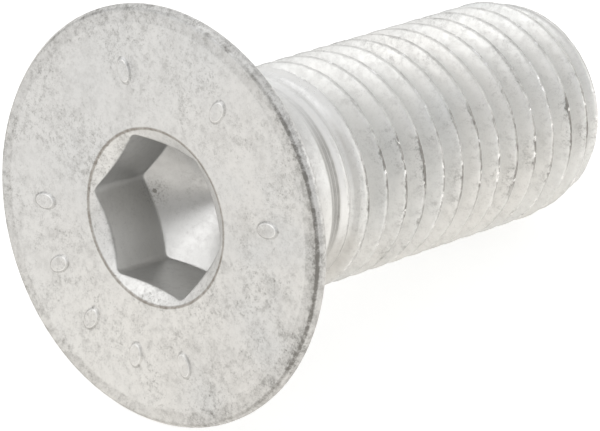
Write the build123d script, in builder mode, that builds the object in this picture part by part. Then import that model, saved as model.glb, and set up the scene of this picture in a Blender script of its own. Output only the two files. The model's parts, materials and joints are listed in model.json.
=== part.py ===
from build123d import *
import os
from math import atan, atan2, ceil, cos, degrees, floor, radians, sin, tan

# Hexagon socket countersunk head screw, M16 x 2 x 40, in millimetres.
# It is drawn standing on the face of its head, with its axis along +Z from the face to the end,
# and laid down as it comes to rest at the bottom of this file.

# Rest
roll = 4.8                  # about its own axis, from lying on the side of +X, in degrees

# Head
head_diameter = 29.0        # across the cylindrical rim
rim_height = 0.74           # of the rim, from the flat face to the seat
face_bevel_width = 0.2      # between the face and the rim, measured across the face
face_bevel_height = 0.35    # of that bevel, measured along the rim
seat_angle = 90.0           # included angle of the countersunk seat
seat_fillet = 1.0           # between the seat and the shank

# Hexagon socket
socket_size = 10.1          # across flats, for a 10 mm key
socket_depth = 5.0          # from the face to the floor, at the six corners
corner_radius = 0.6         # of the six upright corners
floor_angle = 120.0         # included angle of the conical floor
mouth_diameter = 12.25      # of the chamfer round the mouth
mouth_angle = 120.0         # included angle of that chamfer
socket_turn = 6.0           # of the flats about the axis, in degrees

# Shank and thread
length = 40.0               # overall, from the face to the end
shank_diameter = 16.0
thread_diameter = 15.8      # across the crests, inside the tolerance of M16
pitch = 2.0
plain_length = 1.6          # of the full-size shank under the seat
step_angle = 30.0           # slope from the shank down to the rolled blank
blank_length = 0.4          # of the blank left bare before the thread
rise_length = 1.8           # over which the crests grow to their full height
fade_length = 2.4           # over which the crests fade again near the end
end_chamfer = 1.4           # of the end, at 45 degrees
crest_offset = 13.3         # from the face to a crest, on the side of +X
cutter_clearance = 0.1      # how far the groove's cutting form stands proud of the crests

# ISO metric thread form
flank_angle = 30.0          # of each flank to the cross-section
triangle_height = pitch / 2 / tan(radians(flank_angle))
thread_depth = triangle_height * 17 / 24
crest_width = pitch / 8
groove_floor = pitch - crest_width - 2 * thread_depth * tan(radians(flank_angle))
groove_mouth = pitch - crest_width + 2 * cutter_clearance * tan(radians(flank_angle))

# Radii
head_radius = head_diameter / 2
shank_radius = shank_diameter / 2
thread_radius = thread_diameter / 2
blank_radius = thread_radius - triangle_height * 3 / 8
end_radius = blank_radius - end_chamfer
mouth_radius = mouth_diameter / 2
corner_distance = socket_size / 2 / cos(radians(30))

# Stations along the axis, from the face
seat_end = rim_height + (head_radius - shank_radius) / tan(radians(seat_angle / 2))
shank_end = seat_end + plain_length
blank_start = shank_end + (shank_radius - blank_radius) / tan(radians(step_angle))
thread_start = blank_start + blank_length
full_thread_start = thread_start + rise_length
chamfer_start = length - end_chamfer
full_thread_end = chamfer_start - fade_length
floor_tip = socket_depth + corner_distance / tan(radians(floor_angle / 2))
mouth_depth = mouth_radius / tan(radians(mouth_angle / 2))

# The punch that forms the socket: a cylinder with a conical point, cut to a hexagon with rounded
# corners, so that the cone ends in a curve on each flat. A flatter cone makes the mouth's chamfer.
with BuildPart() as punch:
    with BuildSketch(Plane.XZ):
        with BuildLine():
            Polyline(
                (0, 0),
                (corner_distance, 0),
                (corner_distance, socket_depth),
                (0, floor_tip),
                close=True,
            )
        make_face()
    revolve(axis=Axis.Z)
    with BuildSketch() as hexagon:
        RegularPolygon(socket_size / 2, side_count=6, major_radius=False, rotation=30 - socket_turn)
        fillet(hexagon.vertices(), corner_radius)
    extrude(amount=floor_tip, mode=Mode.INTERSECT)
    with BuildSketch(Plane.XZ):
        with BuildLine():
            Polyline((0, 0), (mouth_radius, 0), (0, mouth_depth), close=True)
        make_face()
    revolve(axis=Axis.Z)

# The thread's groove, a 60 degree form swept along a right-hand helix. Its first turn comes down
# from outside the blank, which is the run-out beside the neck, and its last turns pass the end.
# The first turn at full depth has its whole width past the start of the thread.
first_station = thread_start + groove_mouth / 2
groove_start = crest_offset - pitch * (0.5 + floor((crest_offset - first_station) / pitch - 0.5))
groove_turns = ceil((length - groove_start) / pitch) + 1
climb = thread_depth + 2 * cutter_clearance
climb_angle = degrees(atan(climb / pitch))
with BuildPart() as groove:
    with BuildLine() as helix:
        Helix(
            pitch / cos(radians(climb_angle)),
            pitch,
            thread_radius + climb,
            center=(0, 0, groove_start - pitch),
            cone_angle=-climb_angle,
        )
        for turn in range(groove_turns):
            Helix(pitch, pitch, thread_radius, center=(0, 0, groove_start + turn * pitch))
    with BuildSketch(Plane(helix.line @ 0, x_dir=(1, 0, 0), z_dir=helix.line % 0)):
        with BuildLine():
            Polyline(
                (cutter_clearance, -groove_mouth / 2),
                (cutter_clearance, groove_mouth / 2),
                (-thread_depth, groove_floor / 2),
                (-thread_depth, -groove_floor / 2),
                close=True,
            )
        make_face()
    sweep(path=helix.line, is_frenet=True)

# The screw: the forged and turned blank, with the socket punched and the thread rolled.
with BuildPart() as standing_screw:
    with BuildSketch(Plane.XZ) as profile:
        with BuildLine():
            Polyline(
                (0, 0),
                (head_radius - face_bevel_width, 0),
                (head_radius, face_bevel_height),
                (head_radius, rim_height),
                (shank_radius, seat_end),
                (shank_radius, shank_end),
                (blank_radius, blank_start),
                (blank_radius, thread_start),
                (thread_radius, full_thread_start),
                (thread_radius, full_thread_end),
                (blank_radius, chamfer_start),
                (end_radius, length),
                (0, length),
                close=True,
            )
        make_face()
        fillet(profile.vertices().sort_by_distance((shank_radius, seat_end))[0], seat_fillet)
    revolve(axis=Axis.Z)
    add(punch.part, mode=Mode.SUBTRACT)
    add(groove.part, mode=Mode.SUBTRACT)

# Lying on a level surface, it touches it with the rim of its head and with the crest near its end
# that a straight edge laid along its underside meets first. It has rolled a little off the side that
# its seams are on. The origin is under the middle of it.
def crest_radius(station):
    """Radius of the crests at a distance from the face."""
    past_full = max(station - full_thread_end, 0)
    return thread_radius - (thread_radius - blank_radius) * past_full / fade_length


crest_count = int((chamfer_start - crest_offset) / pitch) + 1
crests = [crest_offset + turn * pitch for turn in range(crest_count)]
tilt = min(atan2(head_radius - crest_radius(crest), crest - rim_height) for crest in crests)
turn = radians(roll)
lying = Plane(
    origin=(0, 0, 0),
    x_dir=(-sin(tilt) * cos(turn), sin(turn), -cos(tilt) * cos(turn)),
    z_dir=(cos(tilt), 0, -sin(tilt)),
)
box = (lying.location * standing_screw.part).bounding_box()
lying.origin = (-box.center().X, -box.center().Y, -box.min.Z)

with BuildPart(lying) as countersunk_screw:
    add(standing_screw.part)

os.makedirs("parts", exist_ok=True)
countersunk_screw.part.label = "countersunk_screw"
export_step(countersunk_screw.part, "parts/countersunk_screw.step")

print(f"tilt {degrees(tilt):.2f} degrees, face centre at {tuple(lying.origin)}")
print(f"box {countersunk_screw.part.bounding_box()}")
print(f"volume {countersunk_screw.part.volume:.0f} mm3, {len(countersunk_screw.part.faces())} faces")
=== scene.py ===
# %% [markdown]
# # A countersunk socket screw, finished
#
# The screw is one piece of steel: a flat head with a hexagon socket, a short neck and a rolled
# thread, under a dull silvery zinc flake coating. The library's solid gives its place. This script
# makes a finer skin for the same form, with rounded edges, a worn thread and the coating.

import json
import math

import bpy
import numpy as np
from mathutils import Matrix, Vector


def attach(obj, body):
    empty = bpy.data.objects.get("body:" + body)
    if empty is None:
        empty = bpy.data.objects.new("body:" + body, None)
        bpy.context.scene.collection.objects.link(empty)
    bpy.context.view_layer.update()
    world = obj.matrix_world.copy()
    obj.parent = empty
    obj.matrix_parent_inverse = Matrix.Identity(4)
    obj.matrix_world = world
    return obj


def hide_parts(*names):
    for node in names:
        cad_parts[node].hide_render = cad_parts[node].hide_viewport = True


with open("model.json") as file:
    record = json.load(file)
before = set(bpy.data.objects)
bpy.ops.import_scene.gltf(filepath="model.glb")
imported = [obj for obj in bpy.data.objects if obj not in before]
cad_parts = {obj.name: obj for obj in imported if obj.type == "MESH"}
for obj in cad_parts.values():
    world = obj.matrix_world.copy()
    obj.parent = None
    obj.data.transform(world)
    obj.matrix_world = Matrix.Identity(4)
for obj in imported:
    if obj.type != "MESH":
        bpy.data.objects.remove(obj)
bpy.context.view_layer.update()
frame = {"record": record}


# %% [markdown]
# ## Sizes
#
# All sizes are in millimetres, as on a drawing, and are turned into metres only when a mesh is
# placed. Stations are distances along the axis from the flat face of the head. The sizes are those
# of the solid.

# %% Sizes of the screw
MM = 0.001
rim_radius = 14.5
rim_end = 0.74
shank_radius = 8.0
seat_end = rim_end + rim_radius - shank_radius
seat_fillet = 1.0
shank_end = seat_end + 1.6
step_slope = math.tan(math.radians(30))

pitch = 2.0
thread_radius = 7.9
thread_depth = pitch * 17 * math.sqrt(3) / 48
crest_width = pitch / 8
root_width = pitch - crest_width - 2 * thread_depth / math.sqrt(3)
blank_radius = thread_radius - pitch * 3 * math.sqrt(3) / 16
blank_start = shank_end + (shank_radius - blank_radius) / step_slope
rise_start = blank_start + 0.4
rise_end = rise_start + 1.8
run_out_start = 10.3
run_out_climb = thread_depth + 0.2

length = 40.0
end_chamfer = 1.4
fade_end = length - end_chamfer
fade_start = fade_end - 2.4

socket_half_width = 5.05
socket_corner = 0.6
socket_depth = 5.0
socket_turn = 6.0
mouth_radius = 6.125
cone_slope = math.tan(math.radians(30))
print("root width", round(root_width, 3), "thread from", round(rise_start, 2), "to", fade_end)

# %% [markdown]
# ## Where it lies
#
# The screw lies on its rim and its thread, rolled a little about its axis. Its place is read from
# the mounts of the solid: the socket's mount is the middle of the face, and points out of it.
# Everything is modelled with the axis along Z and the face at zero, and this matrix lays it down at
# the end.

# %% From the bench to its place
roll = math.radians(4.8)
socket_mount = next(m for m in frame["record"]["mounts"] if m["name"] == "hex_socket")
axis = -Vector(socket_mount["axis"]).normalized()
sideways = Vector((0, 1, 0))
downwards = sideways.cross(axis)
x_way = downwards * math.cos(roll) + sideways * math.sin(roll)
y_way = axis.cross(x_way)
lying = Matrix((x_way, y_way, axis)).transposed().to_4x4()
lying.translation = Vector(socket_mount["pos_m"])
lying = lying @ Matrix.Scale(MM, 4)
print("axis dips", round(math.degrees(math.asin(-axis.z)), 2), "degrees")

# %% [markdown]
# ## The blank's skin
#
# A forged and turned blank is nearly round, so its skin is a sheet of rows that run round the axis
# and columns that run along it. Each row has a radius and a station for every column. In the socket
# the radius follows a hexagon with rounded corners, so the same rows make the six walls.

# %% Columns, and the hexagon as a radius
column_count = 256
angle = np.linspace(0, 2 * math.pi, column_count + 1)


def hexagon_radius(at):
    """Distance from the axis to the socket's wall, in the direction of each angle."""
    off_flat = (at + math.radians(socket_turn) + math.pi / 6) % (math.pi / 3) - math.pi / 6
    flat = socket_half_width / np.cos(off_flat)
    reach = (socket_half_width - socket_corner) / math.cos(math.pi / 6)
    off_corner = math.pi / 6 - np.abs(off_flat)
    inside = np.maximum(socket_corner**2 - (reach * np.sin(off_corner)) ** 2, 0)
    corner = reach * np.cos(off_corner) + np.sqrt(inside)
    flat_length = (socket_half_width - socket_corner) * math.tan(math.pi / 6)
    flat_end = math.atan(flat_length / socket_half_width)
    return np.where(np.abs(off_flat) > flat_end, corner, flat)


wall = hexagon_radius(angle)
print("socket wall from", round(wall.min(), 3), "to", round(wall.max(), 3), "mm from the axis")

# %% Rows of the socket
rows = []


def add_row(station, radius):
    """One row of the skin. A single number stands for the whole way round."""
    rows.append((np.broadcast_to(station, angle.shape), np.broadcast_to(radius, angle.shape)))


point_rounding = 0.35


def floor_depth(radius):
    """The conical floor, rounded a little where the punch has its point."""
    from_axis = np.sqrt(radius**2 + point_rounding**2)
    return socket_depth + (socket_half_width / math.cos(math.pi / 6) - from_axis) * cone_slope


for radius in (0, 0.12, 0.25, 0.45, 0.7, 1.1, 1.9, 2.8, 3.7, 4.5):
    add_row(floor_depth(np.full(angle.shape, float(radius))), radius)
for short_of_wall in (0.3, 0.16, 0.06):
    add_row(floor_depth(wall - short_of_wall), wall - short_of_wall)
wall_foot = floor_depth(wall)
wall_top = (mouth_radius - wall) * cone_slope
add_row(wall_foot - 0.03, wall - 0.01)
for share in (0.03, 0.08, 0.3, 0.55, 0.8, 0.94, 0.985):
    add_row(wall_foot + (wall_top - wall_foot) * share, wall)
for share in (0.05, 0.2, 0.5, 0.85):
    add_row(wall_top * (1 - share), wall + (mouth_radius - wall) * share)
print(len(rows), "rows in the socket")

# %% Rows of the face, the rim, the seat and the neck
# Each pair below is a radius and its station.
add_row(0.035, mouth_radius - 0.06)
add_row(0.008, mouth_radius)
add_row(0, mouth_radius + 0.05)
for radius in (6.35, 7.0, 8.0, 9.0, 10.0, 11.0, 12.0, 12.8, 13.25, 13.34):
    add_row(0, radius)
margin = ((13.42, 0.012), (13.5, 0.018), (13.8, 0.026), (14.05, 0.036), (14.16, 0.045))
bevel = ((14.23, 0.07), (14.28, 0.12), (14.43, 0.33), (14.47, 0.38), (14.495, 0.43))
edge = ((14.5, 0.48), (14.5, 0.62), (14.49, 0.68), (14.45, 0.76), (14.36, 0.88))
for radius, station in margin + bevel + edge:
    add_row(station, radius)
for radius in (14.0, 13.0, 11.5, 10.0, 9.0, 8.5):
    add_row(rim_end + rim_radius - radius, radius)
fillet_middle = seat_end + seat_fillet * math.tan(math.radians(22.5))
for turn in (45, 34, 22, 11, 0):
    lean = math.radians(turn)
    add_row(
        fillet_middle - seat_fillet * math.sin(lean),
        shank_radius + seat_fillet * (1 - math.cos(lean)),
    )
shank = ((8.0, 7.9), (8.0, 8.4), (8.0, 8.7), (7.995, 8.8), (7.975, 8.88), (7.94, 8.95))
for radius, station in shank:
    add_row(station, radius)
for radius in (7.85, 7.7, 7.55, 7.42, 7.33):
    add_row(shank_end + (shank_radius - radius) / step_slope, radius)
add_row(blank_start, blank_radius + 0.012)
print(len(rows), "rows as far as the thread")

# %% [markdown]
# ## Rows that follow the thread
#
# A thread climbs one pitch in each turn. If its skin had level rows, every crest would cross them
# and look like a saw. So these rows climb with the thread. Where a climbing row would leave the
# stretch between two level rows, it is held there, and points that fall together are merged later.

# %% The climbing rows and the end
climb_from = blank_start + 0.15
climb_to = fade_end + 0.8
steps = np.array((0.0, 0.0625, 0.125, 0.19, 0.35, 0.53, 0.7, 0.8333, 0.92))
across = np.concatenate((steps, 2 - steps[:0:-1]))


def blank_profile(station):
    """Radius of the blank along the thread, before the thread is rolled into it."""
    stations = (blank_start, rise_start, rise_end, fade_start, fade_end, length)
    radii = (
        blank_radius,
        blank_radius,
        thread_radius,
        thread_radius,
        blank_radius,
        blank_radius - end_chamfer,
    )
    return np.interp(station, stations, radii)


first = run_out_start + pitch / 2 - pitch * 3
row_turns = 20
crest_rows = [first + pitch * turn + part for turn in range(row_turns) for part in across]
for start in (s for s in crest_rows if climb_from - pitch <= s <= climb_to):
    station = np.clip(start + pitch * angle / (2 * math.pi), climb_from, climb_to)
    add_row(station, blank_profile(station))
for station in (39.55, 39.75, 39.9):
    add_row(station, blank_profile(station))
end_edge = ((5.88, 39.97), (5.8, 39.995), (5.6, length))
end_face = ((4.5, length), (2.5, length), (0.0, length))
for radius, station in end_edge + end_face:
    add_row(station, radius)
print(len(rows), "rows in all")

# %% The sheet becomes a mesh
station = np.array([row[0] for row in rows])
radius = np.array([row[1] for row in rows])
points = np.stack((radius * np.cos(angle), radius * np.sin(angle), station), axis=-1).reshape(-1, 3)
row_index, column_index = np.mgrid[0 : len(rows) - 1, 0:column_count]
corner = row_index * (column_count + 1) + column_index
below = corner + column_count + 1
quads = np.stack((corner, below, below + 1, corner + 1), axis=-1).reshape(-1, 4)

skin = bpy.data.meshes.new("screw_blank")
skin.from_pydata(points.tolist(), [], quads.tolist())
blank = bpy.data.objects.new("screw_blank", skin)
bpy.context.scene.collection.objects.link(blank)
print("blank:", len(skin.vertices), "points,", len(skin.polygons), "faces")

# %% [markdown]
# ## Helpers for node trees
#
# Geometry Nodes and materials are both written as sums on fields. These helpers add nodes to either
# kind of tree and hand on their output, so that a formula reads from left to right.

# %% Node helpers


def connect(tree, socket, value):
    """Put a number or another node's output into a socket."""
    if isinstance(value, bpy.types.NodeSocket):
        tree.links.new(value, socket)
    elif value is not None:
        socket.default_value = value


def calculate(tree, operation, a, b=None, c=None):
    """A Math node."""
    node = tree.nodes.new("ShaderNodeMath")
    node.operation = operation
    for socket, value in zip(node.inputs, (a, b, c)):
        connect(tree, socket, value)
    return node.outputs[0]


def product(tree, first, *others):
    """Several values multiplied together."""
    for other in others:
        first = calculate(tree, "MULTIPLY", first, other)
    return first


def ramp(tree, value, start, end, low=0.0, high=1.0):
    """A value that goes smoothly from low to high between start and end."""
    node = tree.nodes.new("ShaderNodeMapRange")
    node.interpolation_type = "SMOOTHSTEP"
    for socket, given_value in zip(node.inputs, (value, start, end, low, high)):
        connect(tree, socket, given_value)
    return node.outputs["Result"]


def between(tree, value, start, full, fading, gone):
    """One where a value is between full and fading, and nothing before start and past gone."""
    return product(tree, ramp(tree, value, start, full), ramp(tree, value, gone, fading))


def noise(tree, vector, scale, detail=3.0, roughness=0.5, shift=0.0):
    """Smooth noise between 0 and 1, with a number of blobs for each unit of the vector."""
    node = tree.nodes.new("ShaderNodeTexNoise")
    node.noise_dimensions = "4D"
    connect(tree, node.inputs["Vector"], vector)
    connect(tree, node.inputs["W"], shift)
    node.inputs["Scale"].default_value = scale
    node.inputs["Detail"].default_value = detail
    node.inputs["Roughness"].default_value = roughness
    return node.outputs[0]


print("helpers ready")

# %% [markdown]
# ## Rolling the thread
#
# Two dies press a thread into the blank. The tree below does the same by rule: for each point it
# finds the nearest turns of a 60 degree groove, and lowers the point to the groove where that is
# deeper. The first turn comes down from outside, as the run-out beside the neck. Rolled crests are
# never clean, so they get small folds and nicks. The tree keeps its numbers as attributes for the
# coating to read.

# %% A tree with named sizes
thread_tree = bpy.data.node_groups.new("rolled_thread", "GeometryNodeTree")
thread_tree.interface.new_socket("Geometry", in_out="INPUT", socket_type="NodeSocketGeometry")
thread_sizes = {
    "Pitch": pitch,
    "Root Radius": thread_radius - thread_depth,
    "Root Width": root_width,
    "Run-out Start": run_out_start,
    "Run-out Climb": run_out_climb,
    "Edge Rounding": 0.05,
    "Fold Depth": 0.05,
    "Nick Depth": 0.2,
    "Seed": 4.0,
}
for name in thread_sizes:
    thread_tree.interface.new_socket(name, in_out="INPUT", socket_type="NodeSocketFloat")
thread_tree.interface.new_socket("Coating", in_out="INPUT", socket_type="NodeSocketMaterial")
thread_tree.interface.new_socket("Geometry", in_out="OUTPUT", socket_type="NodeSocketGeometry")
given = thread_tree.nodes.new("NodeGroupInput").outputs
print("inputs:", ", ".join(thread_sizes))

# %% Where a point is on the thread
t = thread_tree
position = t.nodes.new("GeometryNodeInputPosition").outputs[0]
split = t.nodes.new("ShaderNodeSeparateXYZ")
t.links.new(position, split.inputs[0])
x_place, y_place, z_place = split.outputs
out_squared = calculate(t, "ADD", product(t, x_place, x_place), product(t, y_place, y_place))
out = calculate(t, "SQRT", out_squared)
whole_turn = 2 * math.pi
direction = calculate(t, "ARCTAN2", y_place, x_place)
turned = calculate(t, "FRACT", calculate(t, "DIVIDE", direction, whole_turn))
from_start = calculate(t, "SUBTRACT", z_place, given["Run-out Start"])
turns_on = calculate(t, "SUBTRACT", calculate(t, "DIVIDE", from_start, given["Pitch"]), turned)
groove_before = calculate(t, "FLOOR", turns_on)
phase = calculate(t, "SUBTRACT", turns_on, groove_before)
print("phase field ready")

# %% The groove's own radius
far_out = 99.0


def groove_radius(number, distance):
    """How deep one turn of the groove reaches, at a distance from its middle along the axis."""
    half_root = product(t, given["Root Width"], 0.5)
    up_flank = calculate(t, "SUBTRACT", distance, half_root)
    up_flank = calculate(t, "SMOOTH_MAX", up_flank, 0.0, given["Edge Rounding"])
    radius_here = calculate(t, "MULTIPLY_ADD", up_flank, math.sqrt(3), given["Root Radius"])
    still_out = product(t, calculate(t, "SUBTRACT", 1.0, turned), given["Run-out Climb"])
    is_first = calculate(t, "COMPARE", number, 0.0, 0.5)
    is_none = calculate(t, "LESS_THAN", number, -0.5)
    radius_here = calculate(t, "MULTIPLY_ADD", is_first, still_out, radius_here)
    return calculate(t, "MULTIPLY_ADD", is_none, far_out, radius_here)


past = product(t, phase, given["Pitch"])
ahead = calculate(t, "SUBTRACT", given["Pitch"], past)
groove = calculate(
    t,
    "MINIMUM",
    groove_radius(groove_before, past),
    groove_radius(calculate(t, "ADD", groove_before, 1.0), ahead),
)
pressed = calculate(t, "SMOOTH_MIN", out, groove, given["Edge Rounding"])
print("groove field ready")

# %% Folds and nicks on the crests
left_proud = ramp(t, calculate(t, "SUBTRACT", groove, out), -0.12, 0.03)
on_thread = ramp(t, z_place, rise_start + 0.2, rise_start + 1.0)
before_end = ramp(t, z_place, length - 0.5, fade_end)
off_end_face = ramp(t, out, blank_radius - 0.6, blank_radius - 0.2)
crest = product(t, left_proud, on_thread, before_end, off_end_face)

fold = noise(t, position, 1.6, 4.0, 0.6, given["Seed"])
nick = noise(t, position, 0.9, 5.0, 0.7, calculate(t, "ADD", given["Seed"], 7.0))
fold_depth = product(t, ramp(t, fold, 0.35, 0.75), given["Fold Depth"])
nick_depth = product(t, ramp(t, nick, 0.62, 0.74), given["Nick Depth"])
worn = product(t, calculate(t, "ADD", fold_depth, nick_depth), crest)
worn = calculate(t, "SUBTRACT", pressed, worn)
print("wear field ready")

# %% Moving the points, and what the coating will read
stretch = calculate(t, "DIVIDE", worn, out)
new_place = t.nodes.new("ShaderNodeCombineXYZ")
t.links.new(product(t, x_place, stretch), new_place.inputs[0])
t.links.new(product(t, y_place, stretch), new_place.inputs[1])
t.links.new(z_place, new_place.inputs[2])

merge = t.nodes.new("GeometryNodeMergeByDistance")
merge.inputs["Distance"].default_value = 0.002
t.links.new(given["Geometry"], merge.inputs["Geometry"])
made = merge.outputs[0]

along = product(t, calculate(t, "ADD", groove_before, turned), whole_turn * thread_radius)
beside = product(t, calculate(t, "SUBTRACT", phase, 0.5), given["Pitch"])
thread_place = t.nodes.new("ShaderNodeCombineXYZ")
t.links.new(along, thread_place.inputs[0])
t.links.new(beside, thread_place.inputs[1])
screw_place = t.nodes.new("ShaderNodeCombineXYZ")
t.links.new(out, screw_place.inputs[0])
t.links.new(z_place, screw_place.inputs[1])
t.links.new(calculate(t, "SUBTRACT", worn, given["Root Radius"]), screw_place.inputs[2])

kept = (
    ("crest", "FLOAT", crest),
    ("thread_place", "FLOAT_VECTOR", thread_place.outputs[0]),
    ("screw_place", "FLOAT_VECTOR", screw_place.outputs[0]),
)
for name, kind, value in kept:
    store = t.nodes.new("GeometryNodeStoreNamedAttribute")
    store.data_type = kind
    store.domain = "POINT"
    store.inputs["Name"].default_value = name
    t.links.new(made, store.inputs["Geometry"])
    t.links.new(value, store.inputs["Value"])
    made = store.outputs[0]
print("attributes:", ", ".join(name for name, _, _ in kept))

# %% The end of the tree


def end_tree(tree, geometry, material):
    """Smooth shading, Realize Instances and Set Material, then the output."""
    smooth = tree.nodes.new("GeometryNodeSetShadeSmooth")
    realize = tree.nodes.new("GeometryNodeRealizeInstances")
    set_material = tree.nodes.new("GeometryNodeSetMaterial")
    result = tree.nodes.new("NodeGroupOutput")
    tree.links.new(geometry, smooth.inputs["Geometry"])
    tree.links.new(smooth.outputs[0], realize.inputs["Geometry"])
    tree.links.new(realize.outputs[0], set_material.inputs["Geometry"])
    tree.links.new(material, set_material.inputs["Material"])
    tree.links.new(set_material.outputs[0], result.inputs[0])


move = t.nodes.new("GeometryNodeSetPosition")
t.links.new(made, move.inputs["Geometry"])
t.links.new(new_place.outputs[0], move.inputs["Position"])
end_tree(t, move.outputs[0], given["Coating"])
print(len(t.nodes), "nodes in the thread's tree")

# %% [markdown]
# ## The coating
#
# Zinc flake coating is dipped on and baked: thin flakes of zinc in a clear binder. It is metallic
# but dull, light grey, with clouds where it ran thicker, fine dark specks, and rubbed edges. One
# material gives all of it, and also painted highlights and painted shade. Its coordinates are
# millimetres, so each pattern has its real size.

# %% The material and its coordinates
coating = bpy.data.materials.new("zinc_flake_coating")
coating.use_nodes = True
c = coating.node_tree
c.nodes.clear()
object_space = c.nodes.new("ShaderNodeTexCoord")
in_mm = c.nodes.new("ShaderNodeVectorMath")
in_mm.operation = "SCALE"
c.links.new(object_space.outputs["Object"], in_mm.inputs[0])
in_mm.inputs["Scale"].default_value = 1 / MM
place_mm = in_mm.outputs[0]


def attribute(name, output):
    """One of the numbers that the thread's tree left on the mesh."""
    node = c.nodes.new("ShaderNodeAttribute")
    node.attribute_name = name
    return node.outputs[output]


crest_here = attribute("crest", "Fac")
thread_here = attribute("thread_place", "Vector")
screw_split = c.nodes.new("ShaderNodeSeparateXYZ")
c.links.new(attribute("screw_place", "Vector"), screw_split.inputs[0])
out_here, station_here, above_root = screw_split.outputs


def along_direction(vector, direction):
    """How far a vector reaches along a fixed direction."""
    node = c.nodes.new("ShaderNodeVectorMath")
    node.operation = "DOT_PRODUCT"
    c.links.new(vector, node.inputs[0])
    node.inputs[1].default_value = direction
    return node.outputs["Value"]


up_face = Vector((-axis.z, 0, axis.x))
face_place = Vector(socket_mount["pos_m"]) / MM
across_here = along_direction(place_mm, (0, 1, 0))
height_here = calculate(c, "SUBTRACT", along_direction(place_mm, up_face), face_place.dot(up_face))
print("coordinates ready")

# %% Clouds, scuffs and specks
clouds = noise(c, place_mm, 0.16, 3.0, 0.55, 1.0)
tint = noise(c, place_mm, 0.11, 2.0, 0.5, 5.0)
blotches = ramp(c, noise(c, place_mm, 0.75, 6.0, 0.72, 2.0), 0.46, 0.66)
scuff_noise = noise(c, place_mm, 1.9, 8.0, 0.9, 3.0)
scuffs = ramp(c, scuff_noise, 0.47, 0.6)
specks = ramp(c, noise(c, place_mm, 4.6, 5.0, 0.8, 4.0), 0.53, 0.64)
speck_patches = ramp(c, noise(c, place_mm, 0.3, 4.0, 0.65, 9.0), 0.38, 0.66, 0.4, 1.35)
dirt = calculate(c, "MULTIPLY_ADD", specks, 0.3, product(c, scuffs, 0.26))
dirt = product(c, dirt, speck_patches)
dirt = calculate(c, "MULTIPLY_ADD", blotches, 0.12, dirt)
print("clouds and specks ready")

# %% Parts of the screw that differ
within_mouth = ramp(c, out_here, mouth_radius + 0.02, mouth_radius - 0.05)
in_mouth = product(c, within_mouth, ramp(c, station_here, 10.0, 9.0))
on_head = calculate(c, "MAXIMUM", ramp(c, station_here, 3.0, 1.0), in_mouth)
below_chamfer = calculate(c, "SUBTRACT", out_here, mouth_radius)
below_chamfer = calculate(c, "MULTIPLY_ADD", below_chamfer, cone_slope, station_here)
in_socket = product(c, ramp(c, below_chamfer, 0.03, 0.12), in_mouth)
facing_out = calculate(c, "ABSOLUTE", along_direction(object_space.outputs["Normal"], axis))
on_wall = product(c, ramp(c, facing_out, 0.6, 0.25), in_socket)
on_face = calculate(c, "SUBTRACT", on_head, in_socket)
before_neck = ramp(c, station_here, 8.6, 7.4)
beside_neck = between(c, station_here, 8.6, 9.2, 12.2, 13.2)
# painted light: the lower face, away from the −Y side, is coloured lighter
lit_lower_face = product(c, on_face, ramp(c, height_here, 2.0, -11.0), ramp(c, across_here, -7.5, -1.5))
# painted light: a cool tint on the face towards +Y and upwards
cool_light_side = ramp(c, calculate(c, "ADD", across_here, height_here), -7.0, 13.0)
cool_light_side = product(c, cool_light_side, on_face)

handled_side = product(
    c,
    ramp(c, across_here, -5.0, -14.0),
    ramp(c, out_here, rim_radius - 0.2, rim_radius - 0.3),
    on_head,
)
handled = calculate(c, "MULTIPLY_ADD", on_face, 0.66, 0.34)
handled = calculate(c, "MULTIPLY_ADD", handled_side, 0.25, handled)
dark = product(c, dirt, handled)
print("parts ready")

# %% Crest lines and glints
across_crest = c.nodes.new("ShaderNodeSeparateXYZ")
c.links.new(thread_here, across_crest.inputs[0])
beside_crest = across_crest.outputs[1]
streaks = c.nodes.new("ShaderNodeMapping")
streaks.inputs["Scale"].default_value = (1.2, 4.5, 1.0)
c.links.new(thread_here, streaks.inputs["Vector"])
ragged = noise(c, streaks.outputs[0], 1.0, 6.0, 0.75, 6.0)
smeared = noise(c, place_mm, 0.4, 4.0, 0.65, 12.0)
lip = calculate(c, "MULTIPLY_ADD", calculate(c, "SUBTRACT", ragged, 0.5), 0.6, beside_crest)
lip = calculate(c, "MULTIPLY_ADD", ramp(c, smeared, 0.5, 0.7), 0.12, lip)
lip = product(c, ramp(c, lip, -0.12, -0.02), ramp(c, beside_crest, 0.3, 0.16))
thread_from, thread_full = rise_start + 0.3, rise_start + 1.2
on_thread = between(c, station_here, thread_from, thread_full, fade_end - 0.1, fade_end + 0.5)
# Dark ragged line by each crest: partly dirt in the rolling fold and partly painted shade of the
# groove behind the crest. It is strongest at middle heights and weaker at the top and the bottom.
mid_height_weight = ramp(c, height_here, -3.2, 1.2, 0.3, 1.0)
mid_height_weight = product(c, mid_height_weight, ramp(c, height_here, 3.2, 6.2, 1.0, 0.3))
crest_line = product(c, lip, ramp(c, smeared, 0.35, 0.6, 0.35, 1.0), on_thread, mid_height_weight)
# smudges with painted shade: each flank darkens towards its crest, in patches
smudge_and_flank_shade = product(c, ramp(c, beside_crest, -0.8, -0.1), ramp(c, smeared, 0.45, 0.65, 0.2, 1.0))
smudge_and_flank_shade = product(c, smudge_and_flank_shade, scuffs, on_thread, mid_height_weight)
glint_noise = noise(c, place_mm, 1.3, 4.0, 0.65, 15.0)
glint = product(c, ramp(c, glint_noise, 0.57, 0.62), ramp(c, crest_here, 0.5, 0.9))
# painted light: the roots of the thread are coloured lighter
lit_root = product(c, ramp(c, above_root, 0.75, 0.05), on_thread)
ridge_edge = calculate(c, "ABSOLUTE", beside_crest)
ridge_edge = calculate(c, "MULTIPLY_ADD", calculate(c, "SUBTRACT", ragged, 0.5), 1.3, ridge_edge)
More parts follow.
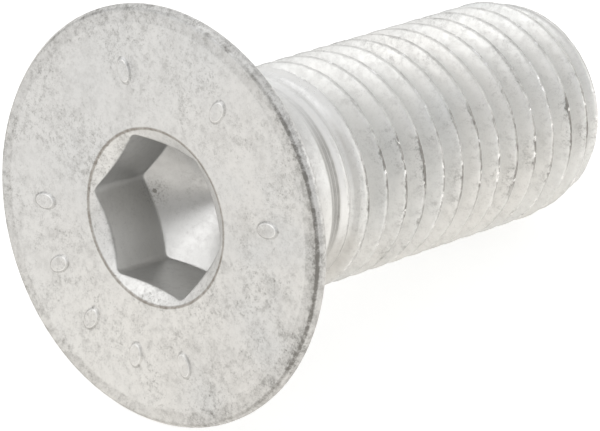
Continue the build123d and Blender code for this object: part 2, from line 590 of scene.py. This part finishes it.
# painted highlight along the first ridge of the thread, on its upper side
first_ridge_highlight = product(
    c,
    between(c, station_here, 10.5, 10.75, 12.0, 12.6),
    ramp(c, ridge_edge, 0.44, 0.34),
    ramp(c, height_here, -2.0, 1.5),
)
print("crest patterns ready")

# %% Turned neck and socket
neck_rings = c.nodes.new("ShaderNodeCombineXYZ")
c.links.new(product(c, station_here, 6.0), neck_rings.inputs[0])
c.links.new(out_here, neck_rings.inputs[1])
ring_noise = noise(c, neck_rings.outputs[0], 1.0, 4.0, 0.75, 8.0)
# turning lines on the neck with painted shade: the recess beside the neck is darker throughout,
# less so at the top and the bottom
neck_lines_and_shade = product(
    c,
    ramp(c, ring_noise, 0.42, 0.58, 0.4, 1.3),
    between(c, station_here, 8.75, 9.0, 10.5, 10.8),
    ramp(c, height_here, -3.5, 0.5, 0.3, 1.0),
    ramp(c, height_here, 7.0, 4.2, 0.35, 1.0),
)
# painted shade on the underside of the first ridge, beside the neck
ridge_underside_shade = between(c, station_here, 10.4, 10.8, 11.6, 12.4)
ridge_underside_shade = product(c, ridge_underside_shade, ramp(c, height_here, 2.5, -4.0))

from_mouth = calculate(c, "ABSOLUTE", calculate(c, "SUBTRACT", out_here, mouth_radius))
mouth_line = product(
    c,
    ramp(c, from_mouth, 0.15, 0.04),
    ramp(c, station_here, 0.2, 0.05),
    ramp(c, scuff_noise, 0.4, 0.58, 0.6, 1.0),
)
# painted reflection: a darker wedge in the socket, set by direction round the axis
turned_here = calculate(c, "ARCTAN2", height_here, across_here)
socket_reflection_shade = product(
    c,
    ramp(c, turned_here, -0.84, -0.5),
    ramp(c, turned_here, 0.1, -0.3, 0.5, 1.0),
    calculate(c, "SUBTRACT", in_socket, on_wall),
)
# painted shade: the socket walls darken with depth
deep_wall_shade = product(c, on_wall, ramp(c, station_here, 1.0, 4.4))

bubble_place = (-13.7, 4.93, 12.36)
from_bubble = c.nodes.new("ShaderNodeVectorMath")
from_bubble.operation = "DISTANCE"
c.links.new(place_mm, from_bubble.inputs[0])
from_bubble.inputs[1].default_value = bubble_place
bubble_distance = from_bubble.outputs["Value"]
# painted shade: a dark spot stands for a small pit in the socket floor
pit_shade = ramp(c, bubble_distance, 0.2, 0.08)
spatter = ramp(c, noise(c, place_mm, 7.0, 2.0, 0.5, 21.0), 0.52, 0.6)
spatter = product(c, spatter, ramp(c, bubble_distance, 1.5, 0.5), in_socket)
print("neck and socket ready")

# %% Rim, marks, and all dark places together
margin_dirt = product(c, ramp(c, out_here, 13.25, 13.42), on_head)
bevel_start = 14.24
from_edge = calculate(c, "ABSOLUTE", calculate(c, "SUBTRACT", out_here, bevel_start))
edge_line = product(c, ramp(c, from_edge, 0.16, 0.03), ramp(c, station_here, 0.3, 0.12))
# a darker band on the margin and the bevel, strongest towards −Y and higher up
bevel_darkening = product(c, ramp(c, out_here, 14.1, bevel_start), 0.6)
bevel_darkening = calculate(c, "MULTIPLY_ADD", ramp(c, out_here, 13.5, 14.15), 0.4, bevel_darkening)
bevel_darkening = product(
    c,
    bevel_darkening,
    ramp(c, station_here, 0.27, 0.15),
    ramp(c, across_here, -6.0, -12.5),
    ramp(c, height_here, -8.5, -2.5, 0.25, 1.0),
)
on_rim = product(c, ramp(c, out_here, bevel_start, 14.3), ramp(c, station_here, 0.95, 0.8))
# painted light: the rim is coloured lighter the higher it is
lit_upper_rim = product(c, on_rim, ramp(c, height_here, -2.0, 8.0, 0.25, 1.0))

mark_foot = attribute("mark_foot", "Fac")
# painted highlight on the raised edge of each pip
mark_edge_highlight = between(c, mark_foot, 0.15, 0.3, 0.45, 0.55)
mark_edge_highlight = product(c, mark_edge_highlight, ramp(c, scuff_noise, 0.62, 0.48, 0.1, 0.9))

# Each pattern and how much of it shows: wear and dirt, and painted shade.
wear_and_shade_patterns = (
    (0.74, crest_line),
    (0.62, smudge_and_flank_shade),
    (0.46, neck_lines_and_shade),
    (0.66, mouth_line),
    (0.2, product(c, ridge_underside_shade, ramp(c, blotches, 0.0, 1.0, 0.6, 1.2))),
    (0.4, socket_reflection_shade),
    (0.05, deep_wall_shade),
    (0.6, pit_shade),
    (0.22, spatter),
    (0.2, product(c, margin_dirt, ramp(c, scuff_noise, 0.38, 0.6, 0.3, 1.0))),
    (0.36, product(c, edge_line, ramp(c, blotches, 0.0, 1.0, 0.4, 1.0))),
    (0.6, product(c, bevel_darkening, ramp(c, scuff_noise, 0.4, 0.56, 0.35, 1.15))),
    (0.1, product(c, on_rim, ramp(c, scuff_noise, 0.4, 0.6, 0.0, 1.0))),
    # painted shade round the foot of each pip
    (0.3, product(c, ramp(c, mark_foot, 0.5, 1.0), ramp(c, scuff_noise, 0.4, 0.58, 0.3, 1.0))),
)
for weight, pattern in wear_and_shade_patterns:
    dark = calculate(c, "MULTIPLY_ADD", pattern, weight, dark)
darkest = 0.85
dark = calculate(c, "MINIMUM", dark, darkest)
print("worn places ready")

# %% Colour, roughness and relief


def mix_colour(factor, first_colour, second_colour):
    """A Mix node for two colours."""
    node = c.nodes.new("ShaderNodeMix")
    node.data_type = "RGBA"
    connect(c, node.inputs[0], factor)
    connect(c, node.inputs[6], first_colour)
    connect(c, node.inputs[7], second_colour)
    return node.outputs[2]


clean = mix_colour(ramp(c, tint, 0.35, 0.65), (0.78, 0.79, 0.785, 1), (0.83, 0.82, 0.795, 1))
clean = mix_colour(ramp(c, clouds, 0.3, 0.7), clean, (0.85, 0.845, 0.825, 1))
# painted light in the thread roots
clean = mix_colour(lit_root, clean, (0.88, 0.88, 0.865, 1))
used = mix_colour(ramp(c, tint, 0.35, 0.65), (0.645, 0.65, 0.648, 1), (0.68, 0.668, 0.648, 1))
used = mix_colour(ramp(c, clouds, 0.3, 0.7), used, (0.71, 0.7, 0.68, 1))
# painted light on the lower face
used = mix_colour(product(c, lit_lower_face, 0.6), used, (0.77, 0.76, 0.735, 1))
# painted cool light tint on the face
used = mix_colour(product(c, cool_light_side, 0.6), used, (0.662, 0.668, 0.672, 1))
coated = mix_colour(before_neck, clean, used)
coated = mix_colour(lit_upper_rim, coated, (0.83, 0.825, 0.81, 1))
coated = mix_colour(in_mouth, coated, (0.75, 0.745, 0.73, 1))
coated = mix_colour(in_socket, coated, (0.69, 0.685, 0.672, 1))
# painted shade: the upper part of the socket is coloured darker
upper_socket_shade = product(c, in_socket, ramp(c, height_here, -1.0, 3.0))
coated = mix_colour(upper_socket_shade, coated, (0.63, 0.626, 0.615, 1))
coated = mix_colour(on_wall, coated, (0.74, 0.74, 0.73, 1))
bright = (0.93, 0.93, 0.92, 1)
# painted highlight on the top of the neck
neck_top_highlight = product(c, beside_neck, ramp(c, height_here, 5.0, 6.6))
coated = mix_colour(neck_top_highlight, coated, bright)
# painted shade, tinted warm, on the underside of the neck
neck_underside_shade = product(c, beside_neck, ramp(c, height_here, 0.0, -2.5, 0.0, 0.6))
coated = mix_colour(neck_underside_shade, coated, (0.68, 0.66, 0.625, 1))
colour = mix_colour(dark, coated, (0.14, 0.132, 0.118, 1))
colour = mix_colour(product(c, mouth_line, 0.4), colour, (0.36, 0.31, 0.26, 1))
colour = mix_colour(glint, colour, bright)
colour = mix_colour(mark_edge_highlight, colour, (0.85, 0.845, 0.83, 1))
colour = mix_colour(first_ridge_highlight, colour, (0.92, 0.915, 0.9, 1))
roughness = calculate(c, "MULTIPLY_ADD", ramp(c, scuff_noise, 0.35, 0.65), 0.1, 0.4)
roughness = calculate(c, "MULTIPLY_ADD", glint, -0.2, roughness)
roughness = calculate(c, "MULTIPLY_ADD", in_socket, -0.12, roughness)
orange_peel = noise(c, place_mm, 2.2, 4.0, 0.6, 11.0)
relief = calculate(c, "MULTIPLY_ADD", orange_peel, 0.6, product(c, scuffs, -0.4))
relief = calculate(c, "MULTIPLY_ADD", specks, -0.5, relief)
relief = calculate(c, "MULTIPLY_ADD", neck_lines_and_shade, -1.2, relief)
relief = product(c, relief, ramp(c, in_socket, 0.0, 1.0, 1.0, 0.3))
bump = c.nodes.new("ShaderNodeBump")
bump.inputs["Strength"].default_value = 0.35
bump.inputs["Distance"].default_value = 0.03 * MM
c.links.new(relief, bump.inputs["Height"])

surface = c.nodes.new("ShaderNodeBsdfPrincipled")
surface.inputs["Metallic"].default_value = 0.85
c.links.new(colour, surface.inputs["Base Color"])
c.links.new(roughness, surface.inputs["Roughness"])
c.links.new(bump.outputs[0], surface.inputs["Normal"])
coating_out = c.nodes.new("ShaderNodeOutputMaterial")
c.links.new(surface.outputs[0], coating_out.inputs[0])
print(len(c.nodes), "nodes in the coating")

# %% Rolling it, and keeping the result as a plain mesh


def run_tree(carrier, tree, sizes, material, name):
    """Set a tree's inputs by their identifiers, evaluate it once and keep the mesh it makes."""
    modifier = carrier.modifiers.new(tree.name, "NODES")
    modifier.node_group = tree
    for socket in tree.interface.items_tree:
        if socket.in_out == "INPUT" and socket.name in sizes:
            modifier[socket.identifier] = sizes[socket.name]
        elif socket.in_out == "INPUT" and socket.socket_type == "NodeSocketMaterial":
            modifier[socket.identifier] = material
    depsgraph = bpy.context.evaluated_depsgraph_get()
    mesh = bpy.data.meshes.new_from_object(carrier.evaluated_get(depsgraph))
    mesh.name = name
    mesh.materials.clear()
    mesh.materials.append(material)
    carrier.modifiers.remove(modifier)
    bpy.data.objects.remove(carrier)
    mesh.transform(lying)
    piece = bpy.data.objects.new(name, mesh)
    bpy.context.scene.collection.objects.link(piece)
    triangles = sum(len(p.vertices) - 2 for p in mesh.polygons)
    print(name, "has", triangles, "triangles")
    return piece


screw = run_tree(blank, thread_tree, thread_sizes, coating, "finished_screw")

# %% [markdown]
# ## Raised pips on the face
#
# The heads of such screws carry small raised marks, forged with the head. Plain oval pips stand for
# them here, in two arcs round the socket. One tree sets them all out from an angle, a spacing and a
# count, and turns each one to face the axis.

# %% The pips' tree
pip_arc_radius = 10.1
pip_radius = 1.2
pip_stretch = (0.95, 0.6, 1.0)
pip_height = 0.15
pip_buried = 0.06
pip_tree = bpy.data.node_groups.new("raised_pips", "GeometryNodeTree")
pip_inputs = {"First Angle": "Float", "Spacing": "Float", "Arc Radius": "Float", "Count": "Int"}
for name, kind in pip_inputs.items():
    pip_tree.interface.new_socket(name, in_out="INPUT", socket_type=f"NodeSocket{kind}")
pip_tree.interface.new_socket("Coating", in_out="INPUT", socket_type="NodeSocketMaterial")
pip_tree.interface.new_socket("Geometry", in_out="OUTPUT", socket_type="NodeSocketGeometry")
wanted = pip_tree.nodes.new("NodeGroupInput").outputs
spots = pip_tree.nodes.new("GeometryNodePoints")
pip_tree.links.new(wanted["Count"], spots.inputs["Count"])
number = pip_tree.nodes.new("GeometryNodeInputIndex").outputs[0]
pip_angle = calculate(pip_tree, "MULTIPLY_ADD", number, wanted["Spacing"], wanted["First Angle"])
spot = pip_tree.nodes.new("ShaderNodeCombineXYZ")
for socket, operation in zip(spot.inputs, ("COSINE", "SINE")):
    part = calculate(pip_tree, operation, pip_angle)
    pip_tree.links.new(product(pip_tree, part, wanted["Arc Radius"]), socket)
pip_tree.links.new(spot.outputs[0], spots.inputs["Position"])

dome = pip_tree.nodes.new("GeometryNodeMeshUVSphere")
dome.inputs["Segments"].default_value = 40
dome.inputs["Rings"].default_value = 40
dome.inputs["Radius"].default_value = pip_radius
ball = pip_tree.nodes.new("ShaderNodeSeparateXYZ")
pip_tree.links.new(pip_tree.nodes.new("GeometryNodeInputPosition").outputs[0], ball.inputs[0])
flat_out = calculate(pip_tree, "SQRT", calculate(
    pip_tree,
    "MULTIPLY_ADD",
    ball.outputs[0],
    ball.outputs[0],
    product(pip_tree, ball.outputs[1], ball.outputs[1]),
))
side = ramp(pip_tree, flat_out, 0.72, 1.02, -pip_height, -0.006)
foot = ramp(pip_tree, flat_out, 1.0, 1.18, 0.0, 0.03)
outer = calculate(pip_tree, "ADD", side, foot)
is_inner = calculate(pip_tree, "GREATER_THAN", ball.outputs[2], 0.0001)
to_inner = calculate(pip_tree, "SUBTRACT", pip_buried, outer)
height = calculate(pip_tree, "MULTIPLY_ADD", is_inner, to_inner, outer)
shaped = pip_tree.nodes.new("ShaderNodeCombineXYZ")
pip_tree.links.new(ball.outputs[0], shaped.inputs[0])
pip_tree.links.new(ball.outputs[1], shaped.inputs[1])
pip_tree.links.new(height, shaped.inputs[2])
# how far out on the pip each point lies, for the painted shade round its foot and the painted
# highlight on its edge
foot_and_edge_place = pip_tree.nodes.new("GeometryNodeStoreNamedAttribute")
foot_and_edge_place.inputs["Name"].default_value = "mark_foot"
pip_tree.links.new(dome.outputs[0], foot_and_edge_place.inputs["Geometry"])
pip_tree.links.new(ramp(pip_tree, flat_out, 0.64, 1.0), foot_and_edge_place.inputs["Value"])
like_face = pip_tree.nodes.new("GeometryNodeStoreNamedAttribute")
like_face.data_type = "FLOAT_VECTOR"
like_face.inputs["Name"].default_value = "screw_place"
like_face.inputs["Value"].default_value = (pip_arc_radius, 0.0, 2.0)
pip_tree.links.new(foot_and_edge_place.outputs[0], like_face.inputs["Geometry"])
press = pip_tree.nodes.new("GeometryNodeSetPosition")
pip_tree.links.new(like_face.outputs[0], press.inputs["Geometry"])
pip_tree.links.new(shaped.outputs[0], press.inputs["Position"])

facing = pip_tree.nodes.new("ShaderNodeCombineXYZ")
pip_tree.links.new(pip_angle, facing.inputs[2])
place_pips = pip_tree.nodes.new("GeometryNodeInstanceOnPoints")
pip_tree.links.new(spots.outputs[0], place_pips.inputs["Points"])
pip_tree.links.new(press.outputs[0], place_pips.inputs["Instance"])
pip_tree.links.new(facing.outputs[0], place_pips.inputs["Rotation"])
place_pips.inputs["Scale"].default_value = pip_stretch
end_tree(pip_tree, place_pips.outputs[0], wanted["Coating"])

pips = []
for first_angle, spacing, count in ((150.3, 49.5, 3), (-29.0, 25.2, 5)):
    carrier = bpy.data.objects.new("pip_carrier", bpy.data.meshes.new("pip_carrier"))
    bpy.context.scene.collection.objects.link(carrier)
    arc = {
        "First Angle": math.radians(first_angle),
        "Spacing": math.radians(spacing),
        "Arc Radius": pip_arc_radius,
        "Count": count,
    }
    pips.append(run_tree(carrier, pip_tree, arc, coating, f"raised_pips_{count}"))

# %% [markdown]
# ## Handing the pieces over
#
# All pieces ride on the screw's one body. The skin stands for the solid, which is then not shown.

# %% Ride and replace
for piece in [screw] + pips:
    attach(piece, "root")
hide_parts("countersunk_screw")
print("pieces:", [o.name for o in [screw] + pips])

# %% [markdown]
# ## Table, light and camera
#
# A product picture on white: a pale table, a large soft light above, weaker ones at the sides, and
# an even grey world. Rays that go straight to the table see it as white, and rays that the screw
# reflects see it a little warmer.

# %% The table


def is_direct(tree, rays):
    """One for rays from the camera, also through something clear, and nothing for all others."""
    return calculate(tree, "MAXIMUM", rays["Is Camera Ray"], rays["Is Transmission Ray"])


bpy.ops.mesh.primitive_plane_add(size=6.0, location=(0, 0, 0))
table = bpy.context.object
table.name = "table"
paper = bpy.data.materials.new("white_paper")
paper.use_nodes = True
p = paper.node_tree
p.nodes.clear()
matt = p.nodes.new("ShaderNodeBsdfDiffuse")
matt.inputs["Color"].default_value = (0.5, 0.495, 0.485, 1)
glow = p.nodes.new("ShaderNodeEmission")
glow_direct = 0.72
glow_reflected = 0.78
table_rays = p.nodes.new("ShaderNodeLightPath").outputs
strength = product(p, table_rays["Is Glossy Ray"], glow_reflected)
strength = calculate(p, "MULTIPLY_ADD", is_direct(p, table_rays), glow_direct, strength)
p.links.new(strength, glow.inputs["Strength"])
warm = p.nodes.new("ShaderNodeMix")
warm.data_type = "RGBA"
p.links.new(table_rays["Is Glossy Ray"], warm.inputs[0])
warm.inputs[6].default_value = (0.995, 1.0, 1.0, 1)
warm.inputs[7].default_value = (1.0, 0.97, 0.925, 1)
p.links.new(warm.outputs[2], glow.inputs["Color"])
both = p.nodes.new("ShaderNodeAddShader")
p.links.new(matt.outputs[0], both.inputs[0])
p.links.new(glow.outputs[0], both.inputs[1])
paper_out = p.nodes.new("ShaderNodeOutputMaterial")
p.links.new(both.outputs[0], paper_out.inputs[0])
table.data.materials.append(paper)

# %% The world and the lamps
world = bpy.data.worlds.new("studio")
bpy.context.scene.world = world
world.use_nodes = True
w = world.node_tree
even = w.nodes["Background"]
even.inputs["Color"].default_value = (1, 1, 1, 1)
world_light = 0.74
world_seen = 1.0
direct = is_direct(w, w.nodes.new("ShaderNodeLightPath").outputs)
strength = calculate(w, "MULTIPLY_ADD", direct, world_seen - world_light, world_light)
w.links.new(strength, even.inputs["Strength"])
lamp_target = Vector((0, 0, 0.01))


def soft_lamp(name, place, size, power):
    """A square area lamp that points at the screw."""
    lamp = bpy.data.lights.new(name, "AREA")
    lamp.size = size
    lamp.energy = power
    holder = bpy.data.objects.new(name, lamp)
    bpy.context.scene.collection.objects.link(holder)
    holder.location = place
    towards_screw = lamp_target - Vector(place)
    holder.rotation_euler = towards_screw.to_track_quat("-Z", "Y").to_euler()
    return holder


lamps = (
    soft_lamp("left_light", (-0.62, 0.4, 0.68), 1.0, 3.1),
    soft_lamp("right_light", (0.7, -0.52, 0.22), 0.4, 0.6),
    soft_lamp("back_light", (0.7, 0.5, 0.32), 0.6, 0.35),
)
print("lamps:", [lamp.name for lamp in lamps])

# %% The camera
look_down = math.radians(30.7)
look_across = math.radians(42.0)
level = math.cos(look_down)
forward = Vector(
    (level * math.cos(look_across), level * math.sin(look_across), -math.sin(look_down))
)
to_right = Vector((math.sin(look_across), -math.cos(look_across), 0))
upward = to_right.cross(forward)
camera = bpy.data.objects.new("camera", bpy.data.cameras.new("camera"))
bpy.context.scene.collection.objects.link(camera)
camera.data.sensor_width = 36
camera.data.lens = 324.6
camera.data.clip_end = 20
turned_to = Matrix((to_right, upward, -forward)).transposed().to_4x4()
face_middle = Vector(socket_mount["pos_m"])
aside, above, away = 9.685, 0.193, 360.9
offset = to_right * aside + upward * above - forward * away
turned_to.translation = face_middle + offset * MM
camera.matrix_world = turned_to
bpy.context.scene.camera = camera
bpy.context.scene.view_settings.view_transform = "Standard"
print("camera", round((camera.location - face_middle).length, 3), "m from the face")
